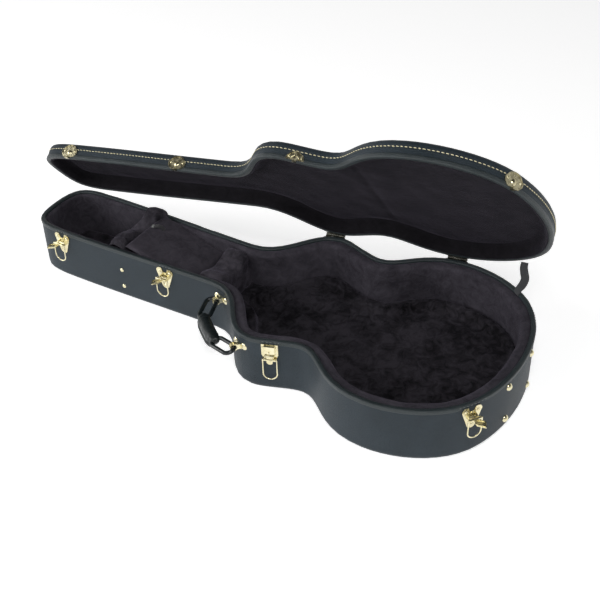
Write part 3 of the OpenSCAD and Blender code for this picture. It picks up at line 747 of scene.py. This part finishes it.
def ribbon(name, centre, widths, width, thick, material, body=None, matrix=None):
    """A flat band along centre points; widths gives the direction of its width at each."""
    verts = []
    n = len(centre)
    for i, (c, a) in enumerate(zip(centre, widths)):
        t = (centre[min(i + 1, n - 1)] - centre[max(i - 1, 0)]).normalized()
        a = (a - t * a.dot(t)).normalized()
        up = a.cross(t)
        for k in range(BAND_SIDES):
            ang = 2 * math.pi * k / BAND_SIDES
            cx = math.copysign(abs(math.cos(ang)) ** 0.4, math.cos(ang)) * width / 2
            cz = math.copysign(abs(math.sin(ang)) ** 0.7, math.sin(ang)) * thick / 2
            verts.append(c + a * cx + up * cz)
    faces = grid_faces(n, BAND_SIDES, False, True)
    faces += [tuple(range(BAND_SIDES - 1, -1, -1)), tuple(range((n - 1) * BAND_SIDES, n * BAND_SIDES))]
    ob = make_object(name, verts, faces, material, matrix=matrix)
    if body:
        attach(ob, body)
    return ob


def pull_tab():
    """A short loop of dark ribbon with a pale end."""
    def band(name, u0, u1, material):
        centre, widths = [], []
        for i in range(15):
            u = u0 + (u1 - u0) * i / 14
            lift = 5.2 * max(0.0, math.sin(math.pi * u)) + 0.4
            centre.append(Vector((-BOX_L + 9 + 24 * u, 18 + 7 * u, BOX_T + lift)))
            widths.append(Vector((-0.28, 1, 0.15 * math.sin(math.pi * u))))
        return ribbon(name, centre, widths, 10, 1.3, material, "box", BOX_FRAME)

    ob = band("box_pull_tab", 0.0, 1.0, TAB)
    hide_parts("box_lid_tab")
    tip = band("box_pull_tab_end", -0.14, 0.06, TAB_TIP)


pull_tab()


# ------------------------------------------------------------------ lid lining
def lid_border_profile(x, s):
    """Padded border round the inside of the lid, from its rim up to the middle sheet."""
    rise = LID_H - RIM_GAP - 10.0
    steps = [(0.8, 6), (0.7, 1.6), (2.2, 0.7), (4.8, 1.6), (7.4, 5.0), (9.4, 9.5), (10.4, 14.0),
             (11.6, 18.5), (15.0, 22.2), (21.0, rise - 0.8), (24.0, rise)]
    return [(WALL + d, BASE_H + RIM_GAP + z) for d, z in steps]


def lid_border_wobble(v, inward, k, s):
    if k < 2:
        return Vector((0, 0, 0))
    fade = min(1.0, (k - 1) / 4) * (1.0 if k < 9 else 0.4)
    return inward * wrinkles(v, 11.0, 40, 1.6) * fade + Vector((0, 0, wrinkles(v, 14.0, 32, 0.7) * fade))


lid_border = ring_sweep("lid_plush_border", lid_border_profile, LID_PLUSH_PAINTED_SHADE, step=7.0,
                        wobble=lid_border_wobble, open_profile=True, matrix=OPEN)
subdivide(lid_border)
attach(lid_border, "lid")
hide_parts("lid_wall_lining")


SHEET_X, SHEET_INSET, CREASE_X = (22, 1078), 20, 762


def lid_sheet():
    """Middle of the lid's lining: a loosely fitted panel with soft wrinkles and a crease."""
    top = BASE_H + LID_H - 9.5
    x0, x1 = SHEET_X
    nx, rows = 150, 36
    verts = []
    for i in range(nx + 1):
        x = x0 + (x1 - x0) * i / nx
        side = max(room_at(x, WALL + SHEET_INSET), 3.0)
        for j in range(rows + 1):
            y = across(side, j, rows)
            p = Vector((x - CASE_L / 2, y, top))
            gap = min(side - abs(y), x - x0, x1 - x)
            soft = min(1.0, max(0.0, gap / 18))
            # Long slack waves across the panel, strongest over the bouts
            body = ease((x - 480) / 120)
            wave = math.sin(x / 17.0 + y / 60.0 + 2.2 * soft_noise(p, 120, 3.0))
            p.z -= soft * (1.4 + 1.2 * wave * body * (0.5 + 0.5 * soft_noise(p, 150, 7.0)))
            p.z -= soft * 1.5 * wrinkles(p, 5.5, 50, 1.0)
            p.z += soft * body * 2.2 * math.exp(-((x - CREASE_X) / 5.5) ** 2)
            verts.append(p)
    ob = make_object("lid_plush_panel", verts, grid_faces(nx + 1, rows + 1), LID_PLUSH_PAINTED_SHADE, matrix=OPEN)
    subdivide(ob)
    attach(ob, "lid")
    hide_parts("lid_top_lining")


lid_sheet()


# ------------------------------------------------------------------ stay strap between the rims
STRAP = [(463, 184, 116.5), (463, 184.2, 120), (465, 188, 127), (470, 194, 137),
         (471, 200, 147), (467, 204, 156), (463, 209, 165), (462, 215, 173)]
STRAP_TURN = [-38, -36, -20, 5, 20, 14, -4, -20]     # heading of its width at each point
STRAP_W, STRAP_T = 16, 1.5


def spline(points, count):
    """Smooth curve through points (Catmull-Rom), count samples."""
    pts = [Vector(p) for p in points]
    out = []
    n = len(pts) - 1
    for k in range(count):
        s = k / (count - 1) * n
        i = min(int(s), n - 1)
        t = s - i
        p0, p1, p2, p3 = pts[max(i - 1, 0)], pts[i], pts[i + 1], pts[min(i + 2, n)]
        out.append(0.5 * ((2 * p1) + (p2 - p0) * t + (2 * p0 - 5 * p1 + 4 * p2 - p3) * t * t
                          + (3 * p1 - p0 - 3 * p2 + p3) * t * t * t))
    return out


STRAP_STEPS = 60
turns = [math.radians(v.x) for v in spline([(a, 0, 0) for a in STRAP_TURN], STRAP_STEPS)]
strap = ribbon("stay_strap_tape", spline(STRAP, STRAP_STEPS),
               [Vector((math.cos(a), math.sin(a), 0)) for a in turns], STRAP_W, STRAP_T, TAPE)
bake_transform(strap)
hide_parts("stay_strap")


# ------------------------------------------------------------------ carrying handle
SWING = JOINTS["handle_swing"]
DROOP, REACH, GRIP_L, GRIP_YAW = math.radians(12), 34.0, 90.0, math.radians(4)
GRIP_SHIFT, SEAM_TILT = 1, 0.5            # toward the wall; angle of the seam below level, in radians
swing_axis = Vector(SWING["axis"])
HANDLE = (Matrix.Translation(Vector(SWING["pos_m"]) / MM)
          @ Matrix.Rotation(math.atan2(swing_axis.y, swing_axis.x), 4, "Z")
          @ Matrix.Rotation(DROOP, 4, "X"))
GRIP = HANDLE @ Matrix.Translation((0, -REACH, 0)) @ Matrix.Rotation(GRIP_YAW, 4, "Z")


def grip_shape(u):
    """Half width, half height and bow of the grip at u, from -1 to 1 along it."""
    swell = ease((1 - abs(u)) / 0.5)
    ry, rz = 9.8 + 3.4 * swell, 8.0 + 4.0 * swell
    if abs(u) > 0.9:
        k = (abs(u) - 0.9) / 0.1
        ry *= math.sqrt(max(0.05, 1 - k * k * 0.7))
        rz *= math.sqrt(max(0.03, 1 - k * k * 0.9))
    return ry, rz, 2.0 * (1 - u * u)


def grip():
    rings, sides = 90, 48
    verts = []
    for i in range(rings + 1):
        u = -1 + 2 * i / rings
        ry, rz, bow = grip_shape(u)
        for j in range(sides):
            a = 2 * math.pi * j / sides
            # Pinched folds of the cover, deepest near the ends
            fold = 0.030 * math.sin(u * 26 + 2.6 * math.sin(a)) * ease((abs(u) - 0.25) / 0.5)
            fold += 0.035 * soft_noise(Vector((u * 45, 14 * math.cos(a), 14 * math.sin(a))), 9, 2.0)
            verts.append(Vector((u * GRIP_L / 2, ry * (1 + fold) * math.cos(a) - bow + GRIP_SHIFT,
                                 rz * (1 + fold) * math.sin(a))))
    faces = grid_faces(rings + 1, sides, False, True)
    faces += [tuple(range(sides)), tuple(range((rings + 1) * sides - 1, rings * sides - 1, -1))]
    ob = make_object("handle_grip_cover", verts, faces, LEATHER, matrix=GRIP)
    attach(ob, "handle")
    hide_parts("handle_grip")
    # Sewn edge of the cover, standing out along the outer side, and its thread
    centre, widths, threads = [], [], []
    out = Vector((0, -math.cos(SEAM_TILT), -math.sin(SEAM_TILT)))
    for i in range(41):
        u = -1.04 + 2.08 * i / 40
        ry, _, bow = grip_shape(max(-0.98, min(0.98, u)))
        reach = 2.6 * ease((1.06 - abs(u)) / 0.2)
        centre.append(Vector((u * GRIP_L / 2, -bow + GRIP_SHIFT, 0)) + out * (ry * 0.94 + reach))
        widths.append(out)
    fin = ribbon("handle_seam_edge", centre, widths, 7.0, 2.6, LEATHER, "handle", GRIP)
    side = Vector((1, 0, 0)).cross(out)
    for i in range(5, 36):
        c = centre[i] + out * 1.4
        for s in (-1, 1):
            q = c + side * s * 1.35
            stitch = [q - Vector((0.8, 0, 0)), q + side * s * 0.15, q + Vector((0.8, 0, 0))]
            threads.append(tube_mesh(stitch, [0.22, 0.34, 0.22], 6))
    v, f = join_meshes(threads)
    seam = make_object("handle_seam_thread", v, f, DARK_THREAD, matrix=GRIP)
    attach(seam, "handle")


grip()


# ------------------------------------------------------------------ camera, floor and light
AZ, EL, ROLL = [math.radians(a) for a in (31.873, 37.809, -1.663)]
DIST, TARGET = 2168.3, (66.3, 25.0, 60.0)
SENSOR, LENS = 36.0, 64.053
back = Vector((math.sin(AZ) * math.cos(EL), -math.cos(AZ) * math.cos(EL), math.sin(EL)))
cam_data = bpy.data.cameras.new("camera")
camera = bpy.data.objects.new("camera", cam_data)
bpy.context.scene.collection.objects.link(camera)
bpy.context.scene.camera = camera
cam_data.sensor_width, cam_data.lens = SENSOR, LENS
cam_data.clip_start, cam_data.clip_end = 0.05, 50
right = (-back).cross(Vector((0, 0, 1))).normalized()
up = right.cross(-back)
rolled = (right * math.cos(ROLL) + up * math.sin(ROLL), up * math.cos(ROLL) - right * math.sin(ROLL), back)
camera.matrix_world = (Matrix.Translation((Vector(TARGET) + back * DIST) * MM)
                       @ Matrix(rolled).transposed().to_4x4())

world = bpy.data.worlds.new("studio")
bpy.context.scene.world = world
world.use_nodes = True
wn = world.node_tree
bg = wn.nodes["Background"]
# A bright horizon under a dimmer ceiling gives the fittings something to reflect
sky = wn.nodes.new("ShaderNodeSeparateXYZ")
wn.links.new(wn.nodes.new("ShaderNodeTexCoord").outputs["Generated"], sky.inputs[0])
sky_tone = ramp(wn, sky.outputs["Z"], [(0.0, 1.0), (0.16, 0.85), (0.40, 0.27), (0.70, 0.09), (1.0, 0.06)])
wn.links.new(sky_tone.outputs["Color"], bg.inputs["Color"])
bg.inputs["Strength"].default_value = 1.0
bpy.context.scene.view_settings.view_transform = "Standard"


def area_light(name, at, look, size, power):
    d = bpy.data.lights.new(name, "AREA")
    d.shape = "RECTANGLE"
    d.size, d.size_y = size
    d.energy = power
    ob = bpy.data.objects.new(name, d)
    bpy.context.scene.collection.objects.link(ob)
    ob.location = at
    ob.rotation_mode = "QUATERNION"
    ob.rotation_quaternion = (Vector(look) - Vector(at)).to_track_quat("-Z", "Y")


area_light("key", (-3.1, -1.7, 1.5), (0, 0, 0.1), (1.4, 1.6), 56)
area_light("front", (-1.3, -3.4, 2.1), (0, 0.1, 0.1), (2.4, 1.0), 26)
area_light("top", (1.3, -1.5, 2.5), (0.1, 0, 0.1), (1.2, 0.8), 40)


FLOOR_HALF, FLOOR_Z = 9000, -0.6


def stage_floor():
    m, nt, bsdf = new_material("pale_floor")
    tone = node(nt, "ShaderNodeTexNoise", Scale=3.0, Detail=2.0)
    col = ramp(nt, tone.outputs["Fac"], [(0.3, (0.93, 0.93, 0.93)), (0.7, (0.96, 0.96, 0.96))])
    nt.links.new(col.outputs["Color"], bsdf.inputs["Base Color"])
    bsdf.inputs["Roughness"].default_value = 0.9
    bsdf.inputs["Specular IOR Level"].default_value = 0.1
    bsdf.inputs["Emission Color"].default_value = (1, 1, 1, 1)
    bsdf.inputs["Emission Strength"].default_value = 0.55
    corners = [(x * FLOOR_HALF, y * FLOOR_HALF, FLOOR_Z) for x, y in ((-1, -1), (1, -1), (1, 1), (-1, 1))]
    ob = make_object("floor", corners, [(0, 1, 2, 3)], m, smooth=False)


stage_floor()
